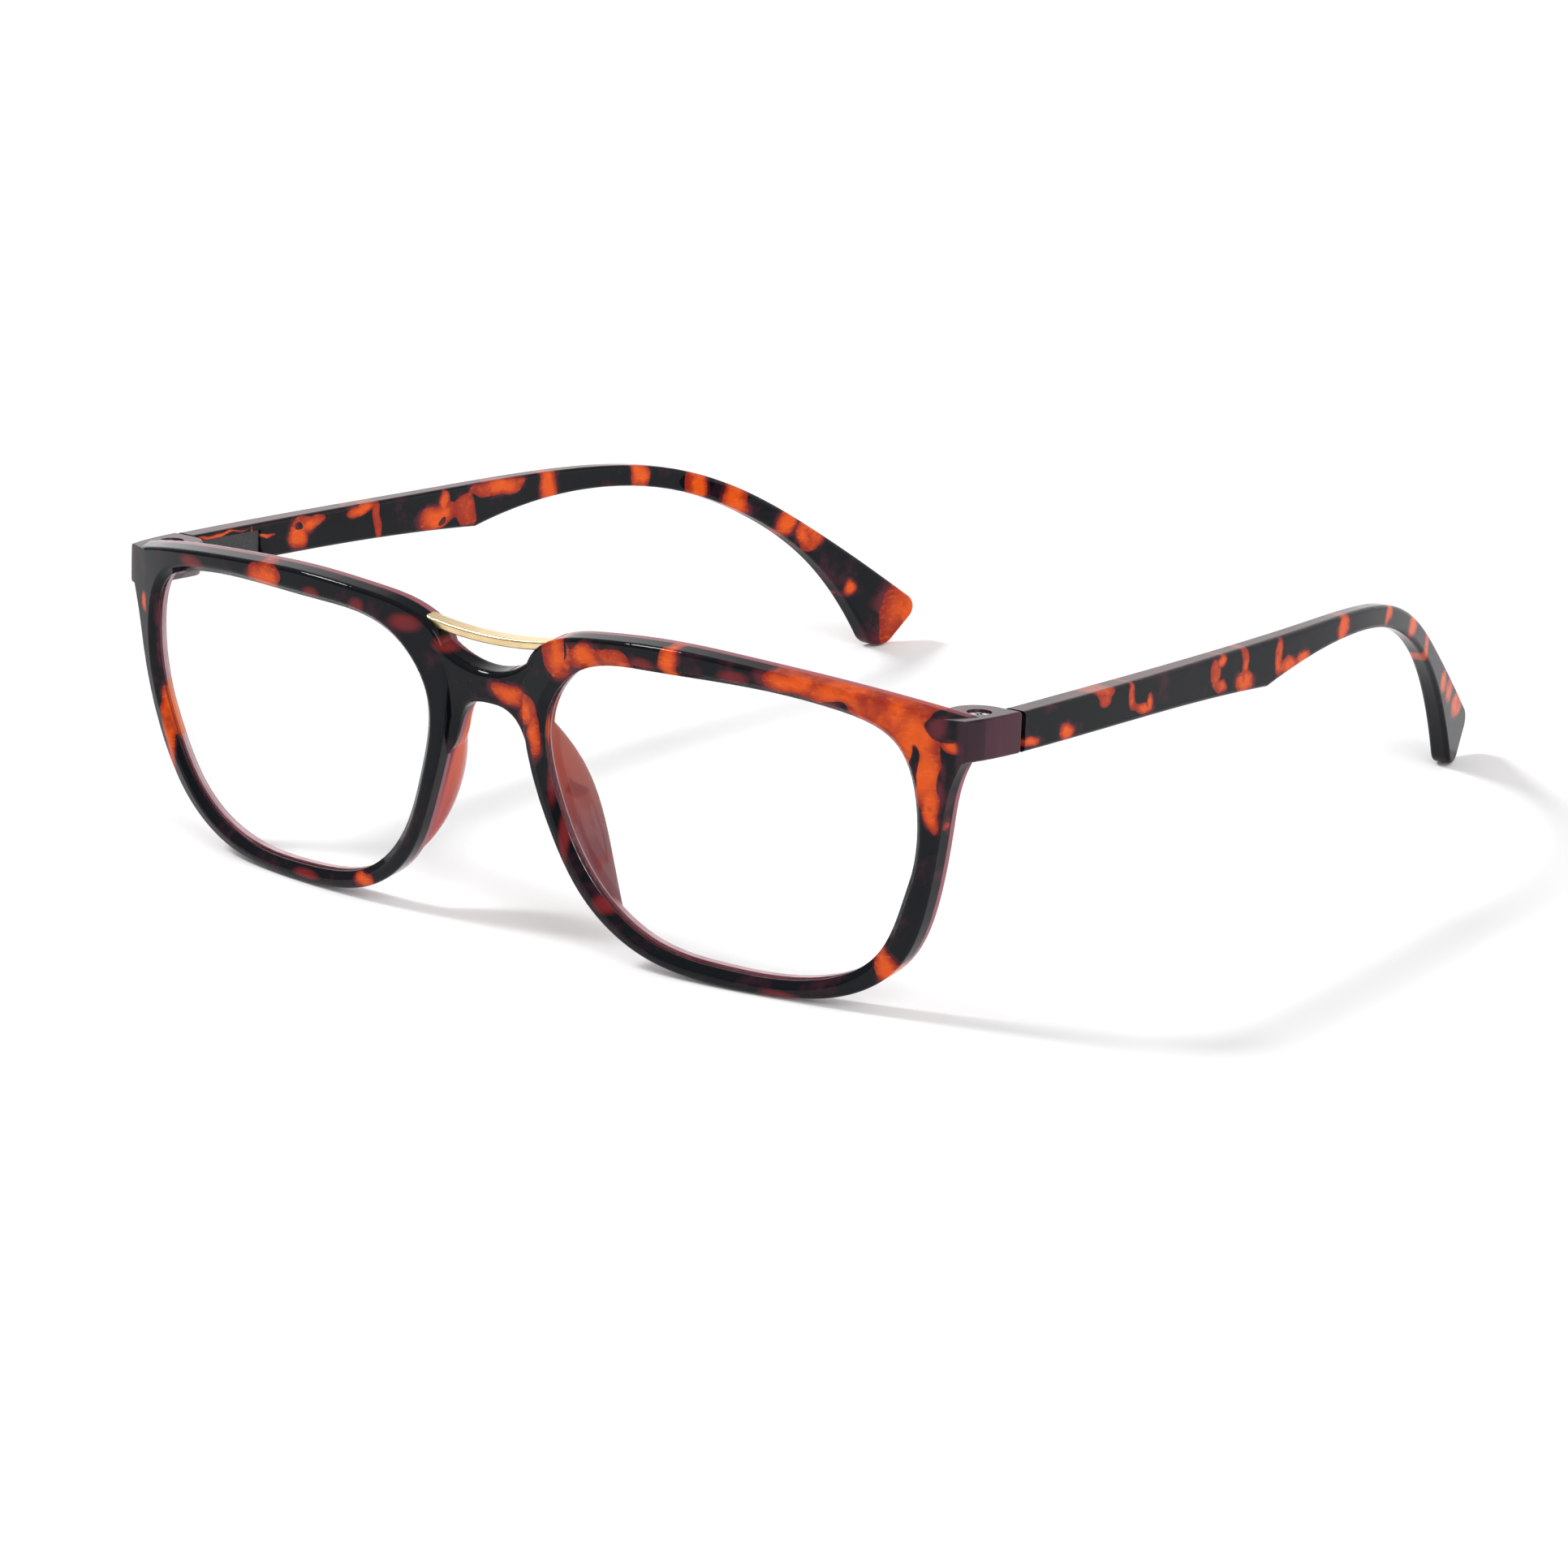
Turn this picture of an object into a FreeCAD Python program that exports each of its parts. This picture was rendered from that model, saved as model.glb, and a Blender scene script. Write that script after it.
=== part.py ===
import FreeCAD, Part
import math
import os
from FreeCAD import Placement, Rotation, Vector

# Folding reading glasses, millimetres.
# Build frame: the temple arms run along +Y, the hinge pins stand along +Z and
# the front is tilted about X by front_tilt. REST then tips the whole pair down
# onto the table, so that rim bottoms and temple tips share Z = 0.

doc = FreeCAD.newDocument("reading_glasses")

# ---------------------------------------------------------------- dimensions
SIZES = [
    ("front_tilt", 10.0),
    ("rest_tilt", 3.377),
    ("rest_lift", 0.467),
    ("rest_shift", -68.547),
    ("face_radius", 96.0),
    ("face_centre_x", 24.5),
    ("face_centre_z", 19.2),
    ("face_vertex_y", -2.15),
    ("rim_depth", 3.4),
    ("rim_round", 0.55),
    ("bevel_width", 1.0),
    ("lens_setback", 1.2),
    ("lens_thick", 1.5),
    ("lens_edge", 0.5),
    ("groove_gap", 0.03),
    ("saddle_front", 0.7),
    ("saddle_depth", 3.6),
    ("saddle_round", 0.9),
    ("saddle_trim", 0.2),
    ("pad_root_y", 1.6),
    ("pad_root_width", 1.7),
    ("bar_front", 1.9),
    ("bar_depth", 1.9),
    ("bar_height", 1.2),
    ("bar_crown", 38.95),
    ("bar_sag", 1.0),
    ("bar_reach", 10.6),
    ("bar_round", 0.35),
    ("pin_x", 64.75),
    ("pin_y", 8.1),
    ("lug_radius", 4.0),
    ("lug_top", 37.5),
    ("lug_foot", 32.5),
    ("lug_round", 0.45),
    ("lug_step", 0.9),
    ("lug_step_x", 66.95),
    ("lug_step_y", 3.6),
    ("skin_inner_x", 67.5),
    ("eye_z", 34.9),
    ("eye_thick", 1.5),
    ("eye_radius", 2.2),
    ("eye_gap", 0.1),
    ("shank_x", 66.45),
    ("shank_width", 1.8),
    ("pin_radius", 0.7),
    ("pin_gap", 0.05),
    ("slot_gap", 0.3),
    ("head_radius", 1.3),
    ("head_height", 0.7),
    ("recess_radius", 1.5),
    ("recess_depth", 0.95),
    ("cross_width", 0.34),
    ("cross_depth", 0.4),
    ("cross_length", 1.87),
    ("arm_start", 12.6),
    ("arm_round", 0.55),
    ("tip_top_round", 2.0),
    ("tip_foot_round", 2.6),
    ("butt_gap", 0.1),
    ("wall_end", 14.0),
    ("cavity_end", 24.2),
    ("cavity_height", 2.2),
    ("cavity_inner_x", 67.4),
    ("rod_radius", 0.5),
    ("rod_gap", 0.06),
    ("rod_end", 22.7),
    ("nut_start", 21.4),
    ("nut_length", 1.1),
    ("nut_radius", 0.85),
    ("spring_radius", 0.69),
    ("wire_radius", 0.13),
    ("spring_turns", 9),
    ("spring_gap", 0.02),
    ("arm_inner_x", 65.05),
    ("cover_thick", 0.35),
    ("cover_inset", 0.12),
    ("cover_lap", 0.6),
]

sheet = doc.addObject("Spreadsheet::Sheet", "dimensions")
for row, (name, value) in enumerate(SIZES, start=1):
    sheet.set("A%d" % row, name)
    sheet.set("B%d" % row, str(value))
    sheet.setAlias("B%d" % row, name)
doc.recompute()


def size(name):
    return float(sheet.get(name))


# ------------------------------------------------------------------ outlines
# Front outlines in the plane of the front: (across, up).
LENS_OUTLINE = [
    (59.7, 16.3), (61.0, 26.2), (58.4, 33.6), (51.2, 36.9), (39.8, 38.4), (26.7, 38.4),
    (14.7, 36.0), (9.7, 29.5), (10.9, 19.2), (15.4, 9.6), (22.6, 3.6), (34.0, 1.6),
    (45.6, 1.9), (54.6, 6.2),
]
RIM_OUTLINE = [
    (66.5, 31.7), (65.1, 28.4), (64.0, 22.9), (61.9, 13.7), (57.3, 4.9), (49.6, 0.4),
    (40.6, -0.6), (31.4, -0.4), (21.6, 1.6), (14.6, 6.7), (9.7, 15.7), (6.7, 24.9),
    (6.0, 32.0), (7.2, 36.6), (11.8, 39.7), (18.2, 41.0), (24.8, 41.6), (31.9, 41.7),
    (39.5, 41.2), (48.0, 40.2), (57.6, 38.4), (63.0, 37.0), (66.5, 35.9),
]
SADDLE_TOP = [(-8.0, 36.9), (0.0, 33.6), (8.0, 36.9)]
SADDLE_FOOT = [
    (8.0, 21.0), (6.6, 22.6), (5.7, 24.5), (5.1, 26.3), (4.2, 27.9), (2.8, 28.9), (0.0, 29.3),
    (-2.8, 28.9), (-4.2, 27.9), (-5.1, 26.3), (-5.7, 24.5), (-6.6, 22.6), (-8.0, 21.0),
]

# Nose pad sections: height, root x, rear edge x, rear edge y.
PAD_SECTIONS = [
    (28.0, 6.6, 6.9, 4.2),
    (23.0, 7.7, 8.4, 6.7),
    (18.0, 9.4, 10.0, 7.6),
    (13.0, 11.4, 11.8, 7.0),
    (8.5, 14.1, 14.2, 5.2),
    (5.6, 16.5, 16.6, 3.2),
]

# Temple arm side view: (back, up).
ARM_TOP = [
    (12.6, 37.4), (35.0, 37.5), (60.0, 37.6), (78.0, 37.7), (90.2, 37.4), (101.8, 35.9),
    (113.3, 31.9), (124.8, 25.2), (133.5, 19.3), (142.1, 13.1),
]
ARM_FOOT_TIP = [
    (135.2, 5.65), (130.3, 14.1), (124.8, 20.6), (113.3, 28.6), (101.8, 32.9), (90.2, 34.4),
    (79.0, 34.0), (66.0, 31.7),
]
ARM_FOOT_FRONT = [(66.0, 31.7), (50.0, 32.4), (30.0, 32.6), (12.6, 32.5)]
# Temple arm plan view: back, outer face x, thickness.
ARM_PLAN = [
    (12.6, 68.2, 3.1), (24.0, 68.15, 3.2), (43.2, 67.4, 2.9), (57.6, 66.6, 2.7),
    (69.1, 65.9, 2.6), (80.0, 64.8, 2.5), (90.2, 63.2, 2.4), (101.8, 60.5, 2.3),
    (113.3, 57.2, 2.5), (124.8, 53.5, 2.8), (136.0, 49.9, 3.0), (143.5, 47.5, 3.2),
]
# End piece plan view, outer side: (x, back).
END_OUTER = [(66.3, 1.0), (67.3, 4.0), (67.95, 8.0), (68.2, 12.1)]


# ------------------------------------------------------------------- helpers
def spline(points, closed=False):
    curve = Part.BSplineCurve()
    if closed:
        curve.interpolate(Points=points, PeriodicFlag=True)
    else:
        curve.interpolate(points)
    return curve.toShape()


def line(a, b):
    return Part.LineSegment(a, b).toShape()


def moved(shape, placement):
    out = shape.copy()
    out.transformShape(placement.toMatrix(), True)
    return out


def mirrored(shape):
    return shape.mirror(Vector(0, 0, 0), Vector(1, 0, 0))


def box(x0, x1, y0, y1, z0, z1):
    return Part.makeBox(x1 - x0, y1 - y0, z1 - z0, Vector(x0, y0, z0))


def pin(x, y, z0, z1, radius):
    return Part.makeCylinder(radius, z1 - z0, Vector(x, y, z0), Vector(0, 0, 1))


def face_ball(inset):
    centre = Vector(size("face_centre_x"), size("face_vertex_y") + size("face_radius"), size("face_centre_z"))
    return Part.makeSphere(size("face_radius") - inset, centre)


def plate(wire, y0, y1):
    return Part.Face(wire).extrude(Vector(0, y1 - y0, 0))


def front_points(pairs, y):
    return [Vector(x, y, z) for x, z in pairs]


TILT = Placement(Vector(0, 0, 0), Rotation(Vector(1, 0, 0), size("front_tilt")))
UNTILT = TILT.inverse()
REST = Placement(
    Vector(0, size("rest_shift"), size("rest_lift")),
    Rotation(Vector(1, 0, 0), -size("rest_tilt")),
)


# --------------------------------------------------------------- front frame
PLATE_FRONT = -20.0
PLATE_BACK = 40.0
# How far a cutter runs on past the face that it opens.
CLEAR = 5.0


def lens_wire(offset):
    base = Part.BSplineCurve()
    points = front_points(LENS_OUTLINE, PLATE_FRONT)
    base.interpolate(Points=points, PeriodicFlag=True)
    shifted = []
    for point in points:
        along = base.tangent(base.parameter(point))[0]
        outward = Vector(along.z, 0, -along.x)
        shifted.append(point + outward * offset)
    return Part.Wire([spline(shifted, closed=True)])


def rim_solid():
    points = front_points(RIM_OUTLINE, PLATE_FRONT)
    wire = Part.Wire([spline(points), line(points[-1], points[0])])
    blank = plate(wire, PLATE_FRONT, PLATE_BACK)
    ring = blank.common(face_ball(0)).cut(face_ball(size("rim_depth")))
    ring = ring.cut(plate(lens_wire(0), PLATE_FRONT, PLATE_BACK))
    return ring


def groove_solid():
    reach = size("lens_edge") + size("groove_gap")
    blank = plate(lens_wire(reach), PLATE_FRONT, PLATE_BACK)
    outer = size("lens_setback") - size("groove_gap")
    inner = size("lens_setback") + size("lens_thick") + size("groove_gap")
    return blank.common(face_ball(outer)).cut(face_ball(inner))


def lens_solid():
    blank = plate(lens_wire(size("lens_edge")), PLATE_FRONT, PLATE_BACK)
    outer = size("lens_setback")
    return blank.common(face_ball(outer)).cut(face_ball(outer + size("lens_thick")))


# A loop of the ring longer than this runs all the way round; the outer loop
# reaches further in towards the nose than the opening does.
LOOP_LENGTH = 100.0
NOSE_SIDE_X = 8.5


def opening_edge(edge):
    return edge.Length > LOOP_LENGTH and edge.BoundBox.XMin > NOSE_SIDE_X


def outer_edge(edge):
    return edge.Length > LOOP_LENGTH and edge.BoundBox.XMin < NOSE_SIDE_X


def rounded_ring():
    ring = rim_solid()
    front = [e for e in ring.Edges if opening_edge(e) and e.BoundBox.YMin < 1.0]
    ring = ring.makeChamfer(size("bevel_width"), front)
    outside = [e for e in ring.Edges if outer_edge(e)]
    return ring.makeFillet(size("rim_round"), outside)


LONG_EDGE = 12.0


def saddle_solid():
    y0 = size("saddle_front")
    top = Part.Arc(*front_points(SADDLE_TOP, y0)).toShape()
    foot = spline(front_points(SADDLE_FOOT, y0))
    right = line(top.Vertexes[1].Point, foot.Vertexes[0].Point)
    left = line(foot.Vertexes[1].Point, top.Vertexes[0].Point)
    solid = plate(Part.Wire([top, right, foot, left]), y0, y0 + size("saddle_depth"))
    long_edges = [e for e in solid.Edges if e.Length > LONG_EDGE and e.Curve.TypeId != "Part::GeomLine"]
    return solid.makeFillet(size("saddle_round"), long_edges)


def bar_solid():
    y0 = size("bar_front")
    reach = size("bar_reach")
    crown = size("bar_crown")
    sag = size("bar_sag")
    height = size("bar_height")
    top = Part.Arc(Vector(-reach, y0, crown), Vector(0, y0, crown - sag), Vector(reach, y0, crown)).toShape()
    low = crown - height
    foot = Part.Arc(Vector(reach, y0, low), Vector(0, y0, low - sag), Vector(-reach, y0, low)).toShape()
    right = line(top.Vertexes[1].Point, foot.Vertexes[0].Point)
    left = line(foot.Vertexes[1].Point, top.Vertexes[0].Point)
    solid = plate(Part.Wire([top, right, foot, left]), y0, y0 + size("bar_depth"))
    long_edges = [e for e in solid.Edges if e.Length > LONG_EDGE]
    return solid.makeFillet(size("bar_round"), long_edges)


# The rounded rear edge of a pad section, from its rear edge point: (x, y).
PAD_LIP = [(1.5, -0.8), (0.9, 0.0), (0.1, -0.5)]


def pad_solid():
    root_y = size("pad_root_y")
    wires = []
    for up, root_x, rear_x, rear_y in PAD_SECTIONS:
        points = [Vector(root_x, root_y, up), Vector(root_x + size("pad_root_width"), root_y, up)]
        points += [Vector(rear_x + x, rear_y + y, up) for x, y in PAD_LIP]
        wires.append(Part.Wire([spline(points, closed=True)]))
    return Part.makeLoft(wires, True, False)


def end_solid():
    z0 = size("lug_foot")
    z1 = size("lug_top")
    outer = [Vector(x, y, z0) for x, y in END_OUTER]
    px = size("pin_x")
    py = size("pin_y")
    radius = size("lug_radius")
    corner = Vector(px, py + radius, z0)
    side = Vector(px - radius, py, z0)
    middle = Vector(px - radius * math.sqrt(0.5), py + radius * math.sqrt(0.5), z0)
    inner = Vector(px - radius, END_OUTER[0][1], z0)
    edges = [
        spline(outer),
        line(outer[-1], corner),
        Part.Arc(corner, middle, side).toShape(),
        line(side, inner),
        line(inner, outer[0]),
    ]
    solid = Part.Face(Part.Wire(edges)).extrude(Vector(0, 0, z1 - z0))
    rear = [e for e in solid.Edges if e.BoundBox.XMin > px - 0.1 and e.BoundBox.XMax > px + 1.0]
    rear = [e for e in rear if e.BoundBox.ZLength > 1.0 or e.BoundBox.YMax > py]
    solid = solid.makeFillet(size("lug_round"), rear)
    step_inner = px - radius - CLEAR
    step_rear = py + radius + CLEAR
    step = box(step_inner, size("lug_step_x"), size("lug_step_y"), step_rear, z0 - CLEAR, z0 + size("lug_step"))
    return solid.cut(step)


def hinge_cutters():
    px = size("pin_x")
    py = size("pin_y")
    eye_half = size("eye_thick") / 2 + size("eye_gap")
    eye_z = size("eye_z")
    slot_front = py - size("eye_radius") - size("slot_gap")
    slot_inner = px - size("lug_radius") - CLEAR
    slot_rear = py + size("lug_radius") + CLEAR
    slot = box(slot_inner, size("skin_inner_x"), slot_front, slot_rear, eye_z - eye_half, eye_z + eye_half)
    bore_radius = size("pin_radius") + size("pin_gap")
    bore = pin(px, py, size("lug_foot") - CLEAR, size("lug_top") + CLEAR, bore_radius)
    floor = size("lug_top") - size("recess_depth")
    recess = pin(px, py, floor, size("lug_top") + CLEAR, size("recess_radius"))
    return [slot, bore, recess]


def front_solid():
    ring = rounded_ring()
    end = moved(end_solid(), UNTILT).common(face_ball(0))
    half = ring.fuse(end).fuse(pad_solid()).cut(groove_solid())
    opening = plate(lens_wire(size("saddle_trim")), PLATE_FRONT, PLATE_BACK)
    whole = half.fuse(mirrored(half)).fuse(saddle_solid().cut(opening).cut(mirrored(opening)))
    whole = whole.cut(bar_solid())
    whole = moved(whole, TILT)
    for cutter in hinge_cutters():
        whole = whole.cut(cutter)
        whole = whole.cut(mirrored(cutter))
    return whole.Solids[0]


# -------------------------------------------------------------- hinge pieces
def screw_solid():
    px = size("pin_x")
    py = size("pin_y")
    floor = size("lug_top") - size("recess_depth")
    top = floor + size("head_height")
    body = pin(px, py, size("lug_foot") + size("lug_step"), floor, size("pin_radius"))
    body = body.fuse(pin(px, py, floor, top, size("head_radius")))
    half = size("cross_width") / 2
    span = size("cross_length") / 2
    base = top - size("cross_depth")
    body = body.cut(box(px - span, px + span, py - half, py + half, base, top + CLEAR))
    return body.cut(box(px - half, px + half, py - span, py + span, base, top + CLEAR)).removeSplitter()


def eye_solid():
    px = size("pin_x")
    py = size("pin_y")
    z0 = size("eye_z") - size("eye_thick") / 2
    z1 = z0 + size("eye_thick")
    shank = size("shank_x")
    half = size("shank_width") / 2
    end = size("arm_start") - size("butt_gap")
    body = pin(px, py, z0, z1, size("eye_radius"))
    body = body.fuse(box(shank - half, shank + half, py, end, z0, z1))
    rod_start = Vector(shank, end, size("eye_z"))
    rod = Part.makeCylinder(size("rod_radius"), size("rod_end") - end, rod_start, Vector(0, 1, 0))
    body = body.fuse(rod)
    bore = pin(px, py, z0 - CLEAR, z1 + CLEAR, size("pin_radius") + size("pin_gap"))
    return body.cut(bore).removeSplitter()


def spring_solid():
    wire_radius = size("wire_radius")
    seat = wire_radius + size("spring_gap")
    start = size("wall_end") + seat
    length = size("nut_start") - seat - start
    radius = size("spring_radius")
    helix = Part.makeHelix(length / size("spring_turns"), length, radius)
    profile = Part.Wire([Part.Circle(Vector(radius, 0, 0), Vector(0, 1, 0), wire_radius).toShape()])
    coil = Part.Wire(helix).makePipeShell([profile], True, True)
    place = Placement(Vector(size("shank_x"), start, size("eye_z")), Rotation(Vector(1, 0, 0), -90))
    return moved(coil, place)


def cover_blank(grow):
    y0 = size("wall_end") - size("cover_lap")
    y1 = size("cavity_end") + size("cover_lap")
    half = size("cavity_height") / 2 + size("cover_lap")
    x0 = size("arm_inner_x") + size("cover_inset")
    return box(x0 - grow, x0 + size("cover_thick"), y0, y1, size("eye_z") - half, size("eye_z") + half)


# -------------------------------------------------------------- temple arms
SIDE_REACH = 100.0
PLAN_REACH = 60.0
NEAR = 0.5


def arm_solid():
    top = spline([Vector(0, y, z) for y, z in ARM_TOP])
    tip = line(Vector(0, *ARM_TOP[-1]), Vector(0, *ARM_FOOT_TIP[0]))
    foot_tip = spline([Vector(0, y, z) for y, z in ARM_FOOT_TIP])
    foot_front = spline([Vector(0, y, z) for y, z in ARM_FOOT_FRONT])
    butt = line(Vector(0, *ARM_FOOT_FRONT[-1]), Vector(0, *ARM_TOP[0]))
    side = Part.Face(Part.Wire([top, tip, foot_tip, foot_front, butt])).extrude(Vector(SIDE_REACH, 0, 0))
    outer = [Vector(x, y, 0) for y, x, t in ARM_PLAN]
    inner = [Vector(x - t, y, 0) for y, x, t in reversed(ARM_PLAN)]
    plan_edges = [spline(outer), line(outer[-1], inner[0]), spline(inner), line(inner[-1], outer[0])]
    plan = Part.Face(Part.Wire(plan_edges)).extrude(Vector(0, 0, PLAN_REACH))
    arm = side.common(plan)
    for (back, up), radius in ((ARM_TOP[-1], "tip_top_round"), (ARM_FOOT_TIP[0], "tip_foot_round")):
        corner = [e for e in arm.Edges if at_corner(e, back, up)]
        arm = arm.makeFillet(size(radius), corner)
    return arm


def at_corner(edge, back, up):
    middle = edge.BoundBox.Center
    return abs(middle.y - back) < NEAR and abs(middle.z - up) < NEAR and edge.Length < LONG_EDGE


def temple_solid():
    solid = arm_solid()
    long_edges = [e for e in solid.Edges if e.BoundBox.YMax > size("cavity_end")]
    solid = solid.makeFillet(size("arm_round"), long_edges)
    eye_z = size("eye_z")
    half = size("cavity_height") / 2
    inner = size("arm_inner_x")
    wall_end = size("wall_end")
    cavity = box(inner, size("cavity_inner_x"), wall_end, size("cavity_end"), eye_z - half, eye_z + half)
    hole_start = Vector(size("shank_x"), size("arm_start") - CLEAR, eye_z)
    hole_length = wall_end - size("arm_start") + 2 * CLEAR
    hole = Part.makeCylinder(size("rod_radius") + size("rod_gap"), hole_length, hole_start, Vector(0, 1, 0))
    return solid.cut(cavity).cut(hole).cut(cover_blank(CLEAR))


# ------------------------------------------------------------------ assembly
nodes = []


def keep(name, shape):
    node = doc.addObject("Part::Feature", name)
    node.Label = name
    node.Shape = shape
    node.Placement = REST
    nodes.append(node)
    return node


def keep_pair(name, shape):
    keep(name + "_left", shape)
    keep(name + "_right", mirrored(shape))


def bind(item, pairs):
    for target, formula in pairs:
        item.setExpression(target, formula)


def parametric_nut(name, side):
    nut = doc.addObject("Part::Cylinder", name + "_blank")
    bore = doc.addObject("Part::Cylinder", name + "_bore")
    for item, radius in ((nut, "nut_radius"), (bore, "rod_radius")):
        bind(item, [("Radius", "dimensions." + radius), ("Height", "dimensions.nut_length")])
        start = Vector(side * size("shank_x"), size("nut_start"), size("eye_z"))
        item.Placement = Placement(start, Rotation(Vector(1, 0, 0), -90))
    cut = doc.addObject("Part::Cut", name)
    cut.Label = name
    cut.Base = nut
    cut.Tool = bore
    cut.Placement = REST
    nodes.append(cut)


def parametric_cover(name, side):
    inner = size("arm_inner_x") + size("cover_inset")
    half = size("cavity_height") / 2 + size("cover_lap")
    corner_x = inner if side > 0 else -inner - size("cover_thick")
    corner = Vector(corner_x, size("wall_end") - size("cover_lap"), size("eye_z") - half)
    cover = doc.addObject("Part::Box", name)
    cover.Label = name
    length = "dimensions.cavity_end - dimensions.wall_end + 2 * dimensions.cover_lap"
    height = "dimensions.cavity_height + 2 * dimensions.cover_lap"
    bind(cover, [("Length", "dimensions.cover_thick"), ("Width", length), ("Height", height)])
    cover.Placement = REST.multiply(Placement(corner, Rotation()))
    nodes.append(cover)


keep("front_frame", front_solid())
keep("brow_bar", moved(bar_solid(), TILT))
keep_pair("lens", moved(lens_solid(), TILT))
keep_pair("temple", temple_solid())
keep_pair("hinge_screw", screw_solid())
keep_pair("hinge_eye", eye_solid())
keep_pair("hinge_spring", spring_solid())
parametric_nut("rod_nut_left", 1)
parametric_nut("rod_nut_right", -1)
parametric_cover("spring_cover_left", 1)
parametric_cover("spring_cover_right", -1)

doc.recompute()
for item in doc.Objects:
    if "Invalid" in item.State or "Error" in item.State:
        raise RuntimeError(item.Name + " did not recompute")
for node in nodes:
    if node.Shape.isNull() or not node.Shape.isValid():
        raise RuntimeError(node.Label + " has no valid shape")
    print("%-20s %9.2f mm3  solids %d" % (node.Label, node.Shape.Volume, len(node.Shape.Solids)))

os.makedirs("parts", exist_ok=True)
for node in nodes:
    node.Shape.exportStep("parts/" + node.Label + ".step")
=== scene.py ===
import math

import bpy
from mathutils import Matrix, Vector

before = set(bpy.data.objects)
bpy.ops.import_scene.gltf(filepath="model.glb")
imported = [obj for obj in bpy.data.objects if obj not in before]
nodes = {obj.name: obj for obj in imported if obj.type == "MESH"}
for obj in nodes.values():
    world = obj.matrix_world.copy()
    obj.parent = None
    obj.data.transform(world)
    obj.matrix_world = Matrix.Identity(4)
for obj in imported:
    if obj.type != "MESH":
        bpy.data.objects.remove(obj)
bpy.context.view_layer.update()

MM = 0.001


# ------------------------------------------------------------------ node kit
class Tree:
    """A small builder over one node tree."""

    def __init__(self, tree):
        self.tree = tree
        tree.nodes.clear()

    def node(self, kind, inputs=(), **settings):
        made = self.tree.nodes.new(kind)
        for key, value in settings.items():
            setattr(made, key, value)
        for key, value in dict(inputs).items():
            self.plug(made.inputs[key], value)
        return made

    def plug(self, socket, value):
        if isinstance(value, bpy.types.NodeSocket):
            self.tree.links.new(value, socket)
        else:
            socket.default_value = value

    def math(self, operation, a, b=0.0, c=0.0, clamp=False):
        made = self.node("ShaderNodeMath", operation=operation, use_clamp=clamp)
        for socket, value in zip(made.inputs, (a, b, c)):
            self.plug(socket, value)
        return made.outputs[0]

    def vector(self, operation, a, b=(0, 0, 0), c=(0, 0, 0)):
        made = self.node("ShaderNodeVectorMath", operation=operation)
        for socket, value in zip(made.inputs, (a, b, c)):
            self.plug(socket, value)
        is_number = operation in ("LENGTH", "DISTANCE", "DOT_PRODUCT")
        return made.outputs["Value" if is_number else "Vector"]

    def noise(self, where, scale, detail=2.0, rough=0.5, out="Fac"):
        made = self.node("ShaderNodeTexNoise", {
            "Vector": where, "Scale": scale, "Detail": detail, "Roughness": rough})
        return made.outputs[out]

    def step(self, value, low, high):
        """0 below low, 1 above high, smooth between. high may be under low."""
        made = self.node("ShaderNodeMapRange", interpolation_type="SMOOTHSTEP")
        for socket, number in zip(made.inputs, (value, low, high, 0.0, 1.0)):
            self.plug(socket, number)
        return made.outputs[0]

    def mix(self, factor, a, b):
        made = self.node("ShaderNodeMix", data_type="RGBA")
        self.plug(made.inputs["Factor"], factor)
        self.plug(made.inputs["A"], a if isinstance(a, bpy.types.NodeSocket) else (*a, 1.0))
        self.plug(made.inputs["B"], b if isinstance(b, bpy.types.NodeSocket) else (*b, 1.0))
        return made.outputs["Result"]

    def place(self, scale=(1, 1, 1)):
        """Where a point is, in metres in the row frame, stretched by scale."""
        where = self.node("ShaderNodeTexCoord").outputs["Object"]
        return where if scale == (1, 1, 1) else self.vector("MULTIPLY", where, scale)

    def facing(self):
        """The parts of the direction that the surface looks in."""
        normal = self.node("ShaderNodeTexCoord").outputs["Normal"]
        return self.node("ShaderNodeSeparateXYZ", {"Vector": normal}).outputs

    def bump(self, height, strength, distance):
        made = self.node("ShaderNodeBump", {
            "Strength": strength, "Distance": distance, "Height": height})
        return made.outputs["Normal"]


def new_material(name):
    material = bpy.data.materials.new(name)
    material.use_nodes = True
    return material, Tree(material.node_tree)


def principled(t, **sockets):
    """A Principled shader with the given sockets, joined to the output."""
    shader = t.node("ShaderNodeBsdfPrincipled")
    for key, value in sockets.items():
        socket = shader.inputs[key.replace("_", " ")]
        is_colour = socket.type == "RGBA" and isinstance(value, tuple)
        t.plug(socket, (*value, 1.0) if is_colour else value)
    t.node("ShaderNodeOutputMaterial", {"Surface": shader.outputs[0]})
    return shader


# ------------------------------------------------------- tortoiseshell plastic
BLACK = (0.003, 0.004, 0.006)
PLUM = (0.032, 0.008, 0.016)
WINE = (0.130, 0.018, 0.028)
RED = (0.230, 0.014, 0.010)
ORANGE = (0.640, 0.078, 0.008)
AMBER = (0.800, 0.150, 0.018)

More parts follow.
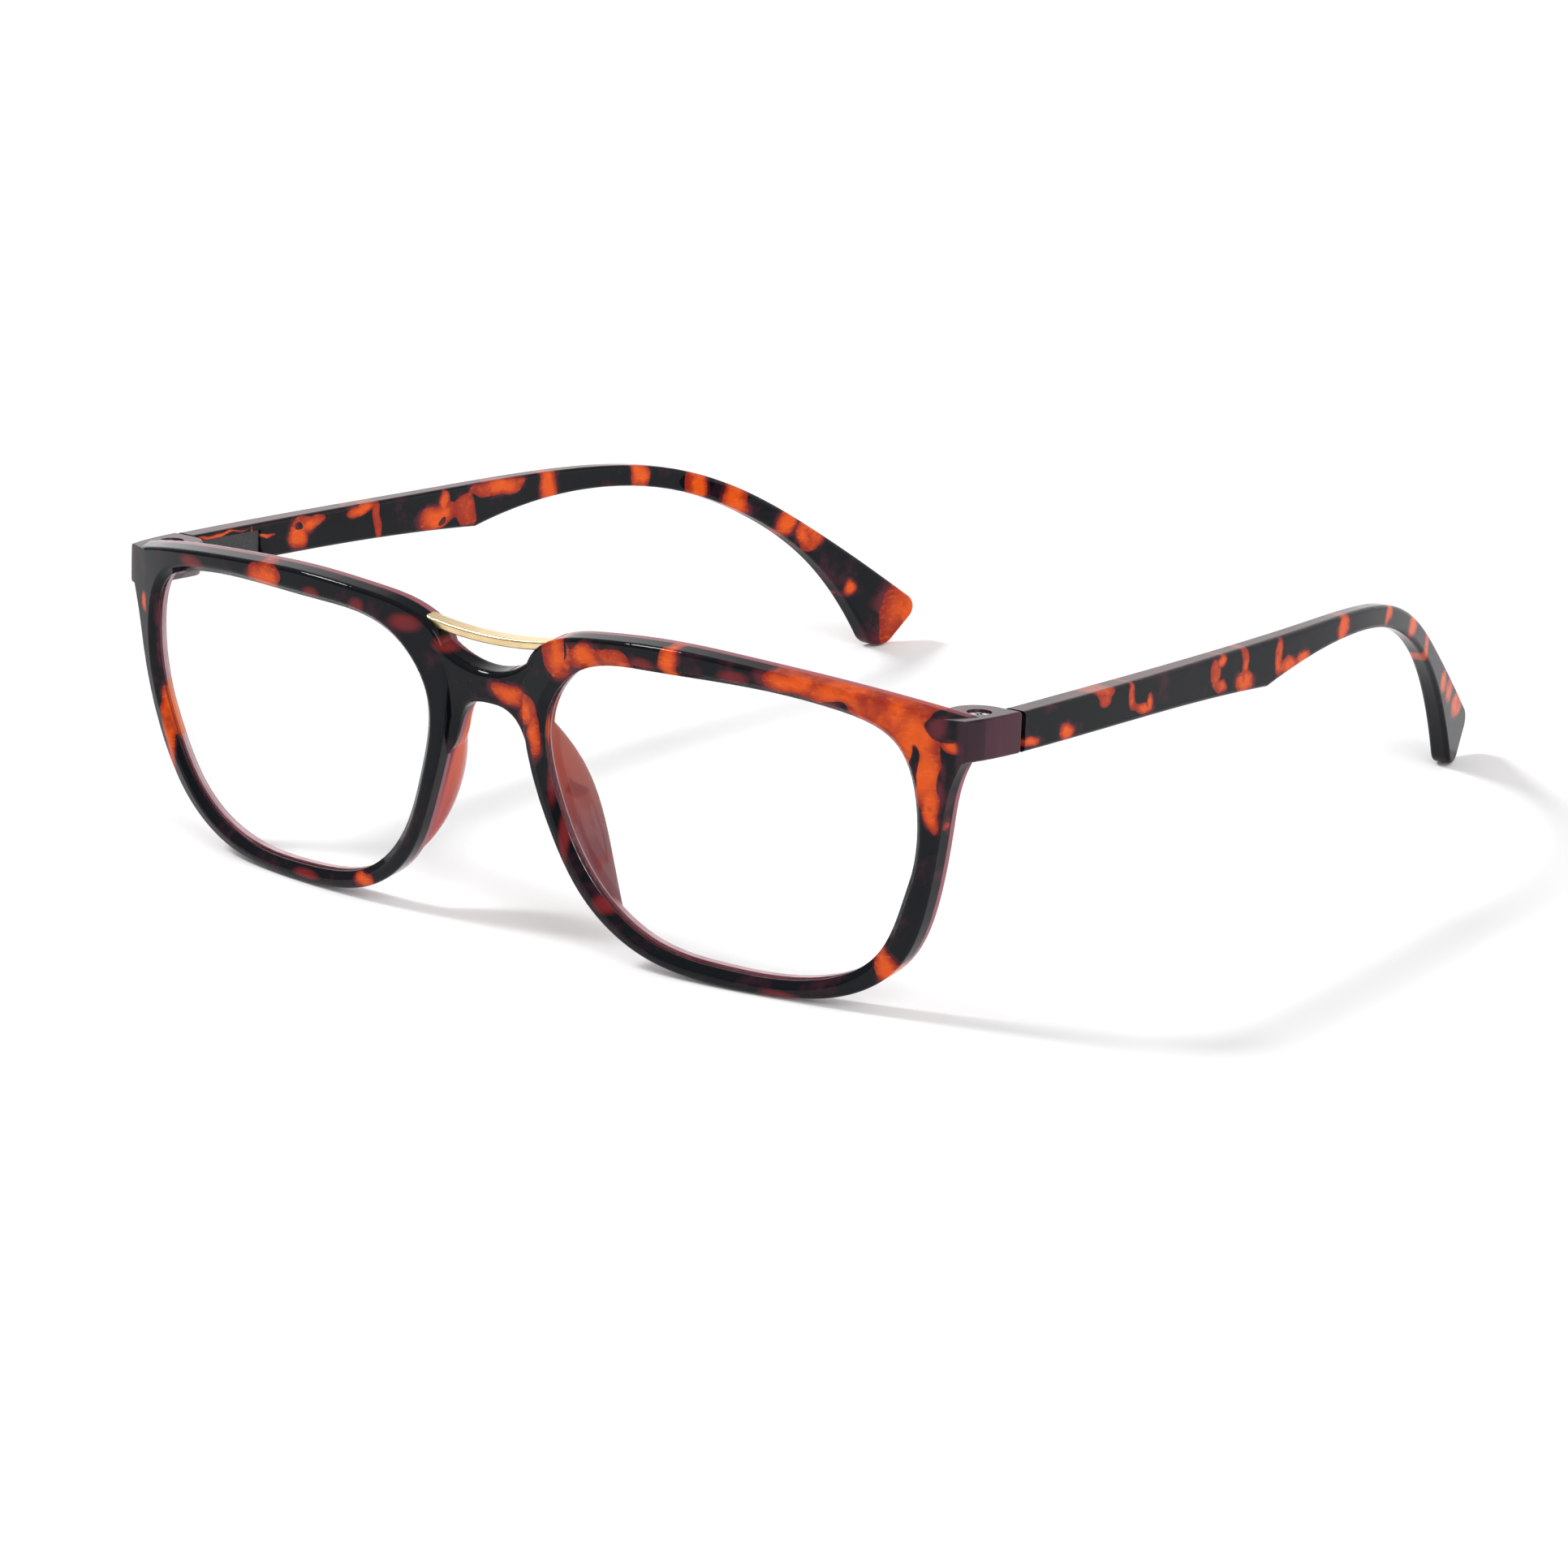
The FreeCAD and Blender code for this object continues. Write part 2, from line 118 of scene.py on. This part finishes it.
# Patches are (x, z, half width, half height) in mm on the front,
# and (y, z, half length, half height) on an arm.
FRONT_PATCHES = [
    (4.0, 32.0, 3.2, 1.7), (7.0, 30.4, 1.9, 2.4), (8.3, 27.4, 1.2, 3.2),
    (12.3, 38.2, 3.0, 3.0), (17.0, 38.4, 2.8, 1.8), (21.6, 39.2, 3.4, 1.9), (30.1, 40.3, 1.5, 4.0),
    (46.5, 40.4, 4.6, 1.7), (52.5, 39.6, 5.0, 2.1), (57.5, 37.8, 4.4, 3.0), (61.2, 35.0, 3.2, 4.6),
    (62.4, 31.0, 2.2, 4.6), (63.2, 27.2, 1.0, 3.6), (65.6, 34.9, 1.6, 0.9),
    (56.3, 6.0, 2.0, 3.0), (-35.5, 40.3, 3.4, 1.7), (-62.8, 31.0, 0.9, 1.7),
    (-59.6, 18.0, 1.3, 14.0), (-22.0, 3.2, 1.8, 1.2),
]
# faint dark red patches, deep in the stock
FRONT_DEEP = [
    (10.4, 23.0, 0.8, 5.0), (12.0, 15.6, 0.8, 5.0), (17.5, 7.6, 2.2, 1.6), (42.0, 0.3, 3.2, 0.9),
    (-12.0, 38.2, 3.0, 1.4), (-6.3, 36.2, 2.2, 1.2), (-19.5, 39.3, 1.6, 1.2), (-50.5, 39.0, 3.4, 1.1),
    (-27.0, 39.6, 1.8, 1.0), (26.0, 39.6, 2.4, 1.0), (39.0, 40.0, 2.6, 1.0), (-33.0, 1.2, 3.0, 0.8),
]
FRONT_HOLES = [
    (64.3, 36.9, 2.7, 1.8), (65.6, 33.3, 1.1, 0.9), (64.9, 30.2, 1.4, 2.6), (51.5, 37.6, 2.4, 0.9),
    (19.0, 41.0, 1.2, 1.1), (13.8, 39.4, 0.3, 1.8), (61.0, 30.0, 0.9, 5.0),
]
LEFT_PATCHES = [
    (-52.7, 32.8, 2.2, 0.7), (-46.2, 33.0, 2.0, 1.1), (-38.2, 36.4, 3.0, 1.6), (-38.0, 34.9, 1.3, 1.0),
    (-32.2, 34.0, 0.9, 2.3), (-29.8, 32.3, 2.8, 0.9), (-27.8, 33.2, 0.9, 1.1),
    (-13.8, 32.4, 1.3, 2.5), (-12.4, 30.6, 1.7, 0.9), (-12.2, 33.9, 1.3, 0.9),
    (-6.4, 32.8, 0.8, 2.2), (-6.3, 30.3, 2.2, 1.6),
    (1.6, 31.6, 1.0, 2.9), (3.6, 29.8, 2.5, 1.0), (7.4, 30.2, 2.2, 0.8),
    (18.8, 31.2, 1.9, 2.6), (34.2, 29.2, 1.4, 1.1), (44.7, 25.4, 2.3, 1.7), (51.4, 20.4, 1.3, 3.0),
    (60.8, 13.2, 1.9, 1.6), (64.0, 11.2, 2.2, 1.8), (68.0, 8.0, 2.6, 1.8),
]
LEFT_HOLES = [(-40.5, 37.6, 1.2, 0.8), (58.0, 14.0, 0.8, 0.8)]
RIGHT_PATCHES = [
    (-34.8, 33.2, 1.7, 2.3), (-32.6, 34.9, 3.5, 1.3), (-22.6, 35.0, 3.4, 1.1), (-19.6, 33.0, 1.0, 2.9),
    (-8.0, 31.2, 4.6, 1.8), (-6.8, 33.0, 1.3, 1.8), (-3.0, 30.6, 2.2, 2.8),
    (3.4, 33.0, 5.8, 1.4), (12.9, 31.4, 1.6, 5.0),
    (28.8, 30.0, 1.7, 5.0), (38.2, 28.0, 1.9, 5.0), (44.8, 25.0, 2.2, 5.0), (52.6, 20.4, 2.1, 2.2),
    (55.9, 17.6, 2.3, 2.2), (62.2, 9.4, 1.1, 1.4), (74.5, 2.5, 8.2, 8.0),
    # lines of light round the spring pocket
    (-49.4, 36.2, 5.4, 0.26), (-43.6, 34.8, 0.26, 1.6), (-41.6, 34.3, 2.4, 0.24),
]
RIGHT_HOLES = [(-34.6, 34.6, 0.7, 0.6), (-7.6, 30.6, 0.8, 0.6)]

THROUGH = 140.0       # patches run through the whole thickness, in mm
BLEND = 0.25          # how softly two patches that meet run together
JITTER_SCALE = 240    # how fine and how far, in metres, the edge of a patch wanders
JITTER_REACH = 0.0026


def patch_field(t, where, patches, axis):
    """The least scaled distance to any patch: under 1 inside one."""
    least = None
    for across, up, half_across, half_up in patches:
        middle = [0.0, 0.0, up]
        reach = [THROUGH, THROUGH, half_up]
        middle[axis] = across
        reach[axis] = half_across
        scale = tuple(1.0 / (r * MM) for r in reach)
        shift = tuple(-m * MM * s for m, s in zip(middle, scale))
        away = t.vector("LENGTH", t.vector("MULTIPLY_ADD", where, scale, shift))
        least = away if least is None else t.math("SMOOTH_MIN", least, away, BLEND)
    return least


def tortoise(name, patches, holes, axis):
    material, t = new_material(name)
    where = t.place()
    jitter = t.vector("SUBTRACT", t.noise(where, JITTER_SCALE, 1.0, 0.4, "Color"), (0.5, 0.5, 0.5))
    moved = t.vector("ADD", where, t.vector("MULTIPLY", jitter, (JITTER_REACH,) * 3))
    patch = patch_field(t, moved, patches, axis)
    hole = patch_field(t, moved, holes, axis)
    cloud = t.noise(where, 230, 3.0, 0.6)
    grain = t.noise(t.place((1.0, 1.0, 2.5)), 900, 3.0, 0.65)
    inside = t.step(patch, 1.03, 0.97)
    core = t.step(patch, 1.02, 0.52)
    halo = t.step(patch, 1.35, 1.00)
    solid = t.math("MULTIPLY", inside, t.step(hole, 0.97, 1.04))
    base = t.mix(t.step(cloud, 0.52, 0.74), BLACK, PLUM)
    haze = t.math("MULTIPLY", t.step(cloud, 0.40, 0.60), 0.7)
    base = t.mix(t.math("MULTIPLY", halo, haze), base, WINE)
    warm = t.mix(core, RED, ORANGE)
    fleck = t.math("MULTIPLY", t.step(grain, 0.46, 0.74), 0.40)
    warm = t.mix(fleck, warm, AMBER)
    smoke = t.math("MULTIPLY", t.step(cloud, 0.52, 0.34), 0.75)
    warm = t.mix(smoke, warm, RED)
    return material, t, where, t.mix(solid, base, warm), solid


def plastic_shader(t, colour, where):
    smear = t.noise(where, 55, 2.0, 0.5)
    rough = t.math("MULTIPLY_ADD", smear, 0.08, 0.03)
    normal = t.bump(t.noise(where, 130, 2.0, 0.4), 0.06, 0.0004)
    principled(t, Base_Color=colour, Roughness=rough, Normal=normal,
               Specular_IOR_Level=0.02, Coat_Weight=0.30, Coat_Roughness=0.01, Coat_IOR=1.5)


# the ball that the front's outer face lies on, and the middle of a lens, in metres
DOME_CENTRE = (0.0245, 0.02246, 0.03037)
DOME_RADIUS = 0.096
LENS_MIDDLE = (0.0345, 0.0, 0.0205)


def front_plastic():
    material, t, where, colour, solid = tortoise("tortoise_front_look", FRONT_PATCHES, FRONT_HOLES, 0)
    parts = t.node("ShaderNodeSeparateXYZ", {"Vector": where}).outputs
    # both halves of the front are worked out as the left one
    outer = t.math("ABSOLUTE", parts["X"])
    half = t.node("ShaderNodeCombineXYZ", {
        "X": outer, "Y": parts["Y"], "Z": parts["Z"]}).outputs[0]
    facing = t.facing()
    half_facing = t.node("ShaderNodeCombineXYZ", {
        "X": t.math("MULTIPLY", facing["X"], t.math("SIGN", parts["X"])),
        "Y": 0.0, "Z": facing["Z"]}).outputs[0]
    deep = t.step(patch_field(t, where, FRONT_DEEP, 0), 1.15, 0.55)
    colour = t.mix(t.math("MULTIPLY", deep, 0.8), colour, t.mix(t.noise(where, 260, 2.0, 0.5), WINE, RED))
    # how far a point is behind the domed front face, in mm
    from_centre = t.vector("DISTANCE", half, DOME_CENTRE)
    depth = t.math("MULTIPLY", t.math("SUBTRACT", DOME_RADIUS, from_centre), 1.0 / MM)
    # 1 on a wall that looks at the lens, -1 on one that looks away from it
    flat = t.vector("MULTIPLY", t.vector("SUBTRACT", LENS_MIDDLE, half), (1.0, 0.0, 1.0))
    inward = t.vector("DOT_PRODUCT", half_facing, t.vector("NORMALIZE", flat))
    # the stock is dark in front and clear wine behind
    rear = t.step(depth, 2.0, 2.3)
    mottle = t.noise(where, 180, 2.0, 0.5)
    behind = t.mix(mottle, (0.050, 0.010, 0.018), (0.230, 0.050, 0.062))
    behind = t.mix(solid, behind, (0.600, 0.095, 0.035))
    colour = t.mix(t.math("MULTIPLY", rear, 0.9), colour, behind)
    # painted light: a pale pink glow is painted on the walls round the lens and along the outer edge, for
    # light gathered in the clear stock
    painted_glow_colour = t.mix(t.noise(where, 240, 2.0, 0.5), (0.300, 0.140, 0.165), (0.640, 0.480, 0.520))
    painted_glow_colour = t.mix(solid, painted_glow_colour, (0.620, 0.190, 0.100))
    painted_glow = t.math("MULTIPLY", t.step(inward, 0.45, 0.75), t.step(depth, 1.1, 1.4))
    colour = t.mix(t.math("MULTIPLY", painted_glow, 0.85), colour, painted_glow_colour)
    # painted light: the outer wall that looks away from the lens gets a pink glow
    edge = t.math("MULTIPLY", t.step(inward, -0.60, -0.85), t.step(depth, 1.9, 2.1))
    colour = t.mix(t.math("MULTIPLY", edge, 0.8), colour, (0.300, 0.110, 0.135))
    # the end pieces are dark all through
    block = t.math("MULTIPLY", t.step(outer, 0.0655, 0.0662), t.step(parts["Z"], 0.0300, 0.0315))
    lug = t.math("MULTIPLY", t.step(depth, 3.2, 3.5), t.step(outer, 0.040, 0.045))
    block = t.math("MAXIMUM", block, lug)
    streak = t.noise(t.place((1.0, 1.0, 0.3)), 200, 2.0, 0.5)
    dusk = t.mix(streak, (0.010, 0.007, 0.010), (0.075, 0.026, 0.042))
    colour = t.mix(t.math("MULTIPLY", block, 0.92), colour, dusk)
    # the nose pads are one clear stock, lighter and warmer higher up; painted light and shade: the pad at
    # negative x is painted a lit salmon and the pad at positive x a shaded deep red
    near_nose = t.step(outer, 0.0185, 0.0170)
    low = t.step(parts["Z"], 0.0335, 0.0320)
    pad = t.math("MULTIPLY", t.math("MULTIPLY", t.step(depth, 2.7, 3.0), near_nose), low)
    rise = t.step(parts["Z"], 0.012, 0.026)
    pad_painted_shaded = t.mix(rise, (0.120, 0.022, 0.028), (0.260, 0.036, 0.018))
    pad_painted_shaded = t.mix(t.step(t.noise(where, 160, 2.0, 0.5), 0.56, 0.58), pad_painted_shaded, (0.150, 0.012, 0.008))
    pad_painted_lit = t.mix(rise, (0.400, 0.095, 0.090), (0.600, 0.120, 0.060))
    # painted light and shade: the pad at negative x lit, the pad at positive x shaded
    pad_painted_light_and_shade = t.mix(t.step(parts["X"], 0.001, -0.001), pad_painted_shaded, pad_painted_lit)
    colour = t.mix(pad, colour, pad_painted_light_and_shade)
    plastic_shader(t, colour, where)
    return material


def arm_plastic(name, patches, holes):
    material, t, where, colour, solid = tortoise(name, patches, holes, 1)
    # the top and foot faces show the clear layer
    top = t.step(t.math("ABSOLUTE", t.facing()["Z"]), 0.80, 0.95)
    streak = t.noise(t.place((1.0, 0.25, 1.0)), 300, 2.0, 0.5)
    clear = t.mix(streak, BLACK, (0.150, 0.050, 0.058))
    clear = t.mix(t.math("MULTIPLY", solid, 0.5), clear, (0.420, 0.060, 0.030))
    colour = t.mix(t.math("MULTIPLY", top, 0.7), colour, clear)
    plastic_shader(t, colour, where)
    return material


# ------------------------------------------------------------- other materials
def lens_glass():
    material, t = new_material("lens_clear_look")
    where = t.place()
    glass = t.node("ShaderNodeBsdfPrincipled")
    # a low IOR stands for the coating that keeps reflections down
    glass.inputs["Base Color"].default_value = (0.985, 0.992, 0.992, 1.0)
    glass.inputs["IOR"].default_value = 1.25
    glass.inputs["Transmission Weight"].default_value = 1.0
    t.plug(glass.inputs["Roughness"], t.math("MULTIPLY", t.noise(where, 40, 1.0, 0.5), 0.004))
    clear = t.node("ShaderNodeBsdfTransparent")
    shadow = t.node("ShaderNodeLightPath").outputs["Is Shadow Ray"]
    blend = t.node("ShaderNodeMixShader")
    t.plug(blend.inputs[0], shadow)
    t.plug(blend.inputs[1], glass.outputs[0])
    t.plug(blend.inputs[2], clear.outputs[0])
    t.node("ShaderNodeOutputMaterial", {"Surface": blend.outputs[0]})
    return material


def metal(name, light, dark, rough, stretch, bump):
    """Worked metal: tone and bumps follow fine lines stretched along one direction, roughness a broader
    patina.
    """
    material, t = new_material(name)
    lines = t.noise(t.place(stretch), 1000, 3.0, 0.6)
    patina = t.noise(t.place(), 220, 3.0, 0.55)
    tone = t.math("MULTIPLY_ADD", lines, 0.5, t.math("MULTIPLY", patina, 0.5))
    colour = t.mix(t.step(tone, 0.35, 0.65), dark, light)
    roughness = t.math("MULTIPLY_ADD", patina, 0.14, rough)
    normal = t.bump(lines, bump, 0.0001)
    principled(t, Base_Color=colour, Roughness=roughness, Metallic=1.0, Normal=normal)
    return material


def cover_plastic():
    material, t = new_material("cover_black_look")
    where = t.place()
    fleck = t.noise(where, 2600, 3.0, 0.6)
    colour = t.mix(t.step(fleck, 0.45, 0.70), (0.010, 0.010, 0.012), (0.028, 0.026, 0.028))
    roughness = t.math("MULTIPLY_ADD", fleck, 0.2, 0.22)
    principled(t, Base_Color=colour, Roughness=roughness, Normal=t.bump(fleck, 0.15, 0.00005))
    return material


looks = {
    "tortoise_front": front_plastic(),
    "tortoise_left": arm_plastic("tortoise_left_look", LEFT_PATCHES, LEFT_HOLES),
    "tortoise_right": arm_plastic("tortoise_right_look", RIGHT_PATCHES, RIGHT_HOLES),
    "lens": lens_glass(),
    "gold": metal("bar_gold_look", (0.84, 0.67, 0.39), (0.72, 0.54, 0.29),
                  0.24, (0.30, 1.0, 1.0), 0.01),
    "screw": metal("screw_steel_look", (0.86, 0.86, 0.88), (0.60, 0.60, 0.62),
                   0.12, (1.0, 1.0, 0.2), 0.2),
    "steel": metal("hinge_steel_look", (0.72, 0.72, 0.73), (0.46, 0.46, 0.47),
                   0.20, (1.0, 0.15, 1.0), 0.25),
    "spring": metal("spring_steel_look", (0.66, 0.66, 0.67), (0.38, 0.38, 0.39),
                    0.22, (1.0, 1.0, 1.0), 0.2),
    "cover": cover_plastic(),
}
WEARS = {
    "front_frame": "tortoise_front", "brow_bar": "gold",
    "lens_left": "lens", "lens_right": "lens",
    "temple_left": "tortoise_left", "temple_right": "tortoise_right",
}
for side in ("left", "right"):
    WEARS["hinge_screw_" + side] = "screw"
    WEARS["hinge_eye_" + side] = "steel"
    WEARS["rod_nut_" + side] = "steel"
    WEARS["hinge_spring_" + side] = "spring"
    WEARS["spring_cover_" + side] = "cover"
for name, look in WEARS.items():
    slots = nodes[name].material_slots
    if not slots:
        nodes[name].data.materials.append(looks[look])
    for slot in slots:
        slot.material = looks[look]


# ------------------------------------------------------------- floor and light
FLOOR_HALF = 4.0
FLOOR_DROP = 0.0002   # just under the object, so that no two faces share a plane


def floor():
    mesh = bpy.data.meshes.new("floor")
    half = FLOOR_HALF
    corners = [(-half, -half, 0), (half, -half, 0), (half, half, 0), (-half, half, 0)]
    mesh.from_pydata(corners, [], [(0, 1, 2, 3)])
    made = bpy.data.objects.new("floor", mesh)
    made.location = (0.0, 0.0, -FLOOR_DROP)
    bpy.context.scene.collection.objects.link(made)
    material, t = new_material("floor_look")
    tone = t.mix(t.noise(t.place(), 3.0, 2.0, 0.5), (0.93, 0.93, 0.93), (0.96, 0.96, 0.96))
    principled(t, Base_Color=tone, Roughness=0.9, Specular_IOR_Level=0.0)
    mesh.materials.append(material)


def soft_sun(name, towards, power, spread):
    """A far, soft lamp in that direction: the light is even over the whole floor."""
    lamp = bpy.data.lights.new(name, "SUN")
    lamp.energy = power
    lamp.angle = math.radians(spread)
    made = bpy.data.objects.new(name, lamp)
    made.rotation_euler = Vector(towards).to_track_quat("Z", "Y").to_euler()
    bpy.context.scene.collection.objects.link(made)


floor()
soft_sun("key_left", (-0.60, -0.26, 0.73), 1.6, 12)
soft_sun("fill_right", (0.72, -0.48, 0.50), 1.7, 45)

world = bpy.data.worlds.new("studio")
bpy.context.scene.world = world
world.use_nodes = True
w = Tree(world.node_tree)
direction = w.node("ShaderNodeTexCoord").outputs["Generated"]
sky = w.node("ShaderNodeSeparateXYZ", {"Vector": direction}).outputs
# brighter overhead, and brightest behind the object
behind = w.math("MULTIPLY", w.step(sky["Y"], 0.10, 0.60), w.step(sky["Z"], 0.70, 0.40))
level = w.math("MULTIPLY_ADD", w.step(sky["Z"], 0.0, 0.8), 0.25, 0.25)
level = w.math("MULTIPLY_ADD", behind, 1.1, level)
shade = w.node("ShaderNodeBackground", {"Color": (1.0, 1.0, 1.0, 1.0), "Strength": level})
w.node("ShaderNodeOutputWorld", {"Surface": shade.outputs[0]})

# ---------------------------------------------------------------------- camera
CAMERA_AT = (0.48353, -0.61787, 0.23412)
CAMERA_RIGHT = (0.78063, 0.62499, 0.00103)
CAMERA_UP = (-0.17709, 0.21961, 0.95938)
CAMERA_BACK = (0.59937, -0.74910, 0.28212)
LENS_MM = 143.787

camera = bpy.data.cameras.new("camera")
camera.lens = LENS_MM
camera.sensor_width = 36.0
camera.clip_start = 0.01
camera.clip_end = 50.0
viewer = bpy.data.objects.new("camera", camera)
turn = Matrix((CAMERA_RIGHT, CAMERA_UP, CAMERA_BACK)).transposed().to_4x4()
viewer.matrix_world = Matrix.Translation(CAMERA_AT) @ turn
bpy.context.scene.collection.objects.link(viewer)
bpy.context.scene.camera = viewer
bpy.context.scene.view_settings.view_transform = "Standard"
bpy.context.scene.view_settings.look = "None"
